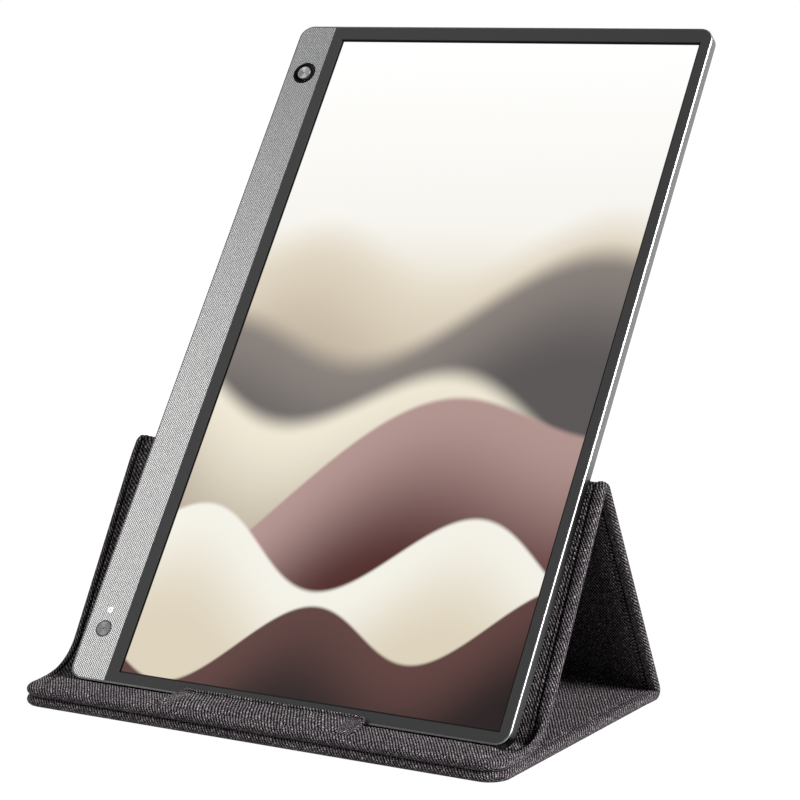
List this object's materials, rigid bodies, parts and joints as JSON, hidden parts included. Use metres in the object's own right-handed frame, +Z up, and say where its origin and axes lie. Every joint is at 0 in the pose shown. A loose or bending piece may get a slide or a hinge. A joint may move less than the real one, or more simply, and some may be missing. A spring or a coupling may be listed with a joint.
{
  "type": "portable monitor with cover",
  "caption": "Slim portable display standing upright in the channel of a folding charcoal cloth cover, with a control strip, joystick, power button and USB-C socket.",
  "frame": {"origin": "centre of the bounding box in plan, on the surface that the cover stands on", "axes": "+Z up, -Y towards the user, +X to the right as the user sees the screen"},
  "size_m": [0.248, 0.2274, 0.3076],
  "materials": {
    "cover_cloth": "coarse charcoal twill with light flecks",
    "cover_lining": "charcoal twill, turned to the inside",
    "grey_board": "pressed grey board",
    "tab_plastic": "thin stiffening sheet",
    "magnet": "nickel plated",
    "housing_metal": "satin",
    "polished_metal": "polished",
    "dark_plastic": "matte",
    "patterned_metal": "satin with a fine staggered pattern",
    "screen_glass": "gloss",
    "clear_plastic": "clear",
    "led_strip": "gloss",
    "tray_metal": "plain sheet",
    "foam_tape": "matte",
    "screw_steel": "zinc plated",
    "circuit_board": "satin",
    "amber_film": "gloss",
    "white_film": "satin",
    "chip_plastic": "matte",
    "plated_steel": "plated",
    "switch_plastic": "matte",
    "light_pipe_plastic": "gloss",
    "black_gloss": "gloss",
    "button_grey": "satin",
    "plunger_plastic": "matte",
    "spun_metal": "spun"
  },
  "bodies": {
    "base": {"base_cloth": "cover_cloth", "base_board": "grey_board", "base_lining": "cover_lining", "base_magnets": "magnet"},
    "rear_leg": {"rear_leg_cloth": "cover_cloth", "rear_leg_board": "grey_board", "rear_leg_lining": "cover_lining", "apex_strip": "cover_cloth"},
    "backrest": {"backrest_cloth": "cover_cloth", "backrest_board": "grey_board", "backrest_lining": "cover_lining"},
    "lip": {"lip_cloth": "cover_cloth", "lip_board": "grey_board", "lip_lining": "cover_lining", "lip_magnets": "magnet"},
    "tab": {"tab_cloth": "cover_cloth", "tab_stiffener": "tab_plastic"},
    "display": {"rear_cover": "housing_metal", "metal_rim": "polished_metal", "front_bezel": "dark_plastic", "control_strip": "patterned_metal", "lcd_glass": "screen_glass", "light_guide": "clear_plastic", "led_bar": "led_strip", "backlight_tray": "tray_metal", "panel_tapes": "foam_tape", "support_plate": "tray_metal", "plate_screws": "screw_steel", "driver_board": "circuit_board", "panel_flexes": "amber_film", "ribbon_cable": "white_film", "main_board": "circuit_board", "board_chips": "chip_plastic", "shield_can": "plated_steel", "cable_sockets": "white_film", "board_screws": "screw_steel", "usb_c_port": "plated_steel", "button_board": "circuit_board", "button_cable": "white_film", "power_switch": "switch_plastic", "status_led": "led_strip", "light_pipe": "light_pipe_plastic", "joystick_switch": "switch_plastic", "joystick_ring": "black_gloss"},
    "power_button": {"power_button": "button_grey"},
    "joystick_plunger": {"joystick_plunger": "plunger_plastic"},
    "joystick_rocker": {"joystick_rocker": "plated_steel"},
    "joystick_cap": {"joystick_cap": "spun_metal"}
  },
  "joints": [
    {"name": "rear_crease", "type": "hinge", "parent": "base", "child": "rear_leg", "pos_m": [0, 0.04477, 0.00445], "axis": [1, 0, 0], "range_deg": [0, 60]},
    {"name": "apex_crease", "type": "hinge", "parent": "rear_leg", "child": "backrest", "pos_m": [0, -0.01423, 0.10664], "axis": [1, 0, 0], "range_deg": [-120, 0]},
    {"name": "front_crease", "type": "hinge", "parent": "backrest", "child": "lip", "pos_m": [0, -0.07323, 0.00445], "axis": [1, 0, 0], "range_deg": [0, 60]},
    {"name": "display_tilt", "type": "hinge", "parent": "lip", "child": "display", "pos_m": [0.005, -0.08549, 0.00633], "axis": [1, 0, 0], "range_deg": [-55.5, 0]},
    {"name": "tab_crease", "type": "hinge", "parent": "lip", "child": "tab", "pos_m": [0, -0.10623, 0.01053], "axis": [1, 0, 0], "range_deg": [0, 90]},
    {"name": "power_press", "type": "slide", "parent": "display", "child": "power_button", "axis": [0, 0.8241, -0.5664], "range_m": [0, 0.00035], "stiffness_N_per_m": 1500},
    {"name": "joystick_press", "type": "slide", "parent": "display", "child": "joystick_plunger", "axis": [0, 0.8241, -0.5664], "range_m": [0, 0.00035], "stiffness_N_per_m": 1500},
    {"name": "joystick_tilt_up_down", "type": "hinge", "parent": "joystick_plunger", "child": "joystick_rocker", "pos_m": [-0.0976, 0.09401, 0.28248], "axis": [1, 0, 0], "range_deg": [-7, 7], "stiffness_Nm_per_rad": 0.03},
    {"name": "joystick_tilt_side", "type": "hinge", "parent": "joystick_rocker", "child": "joystick_cap", "pos_m": [-0.0976, 0.09401, 0.28248], "axis": [0, 0.5664, 0.8241], "range_deg": [-7, 7], "stiffness_Nm_per_rad": 0.03}
  ],
  "couplings": [
    {"joint": "apex_crease", "follows": "rear_crease", "ratio": -2},
    {"joint": "front_crease", "follows": "rear_crease", "ratio": 1},
    {"joint": "display_tilt", "follows": "rear_crease", "ratio": -0.925}
  ]
}
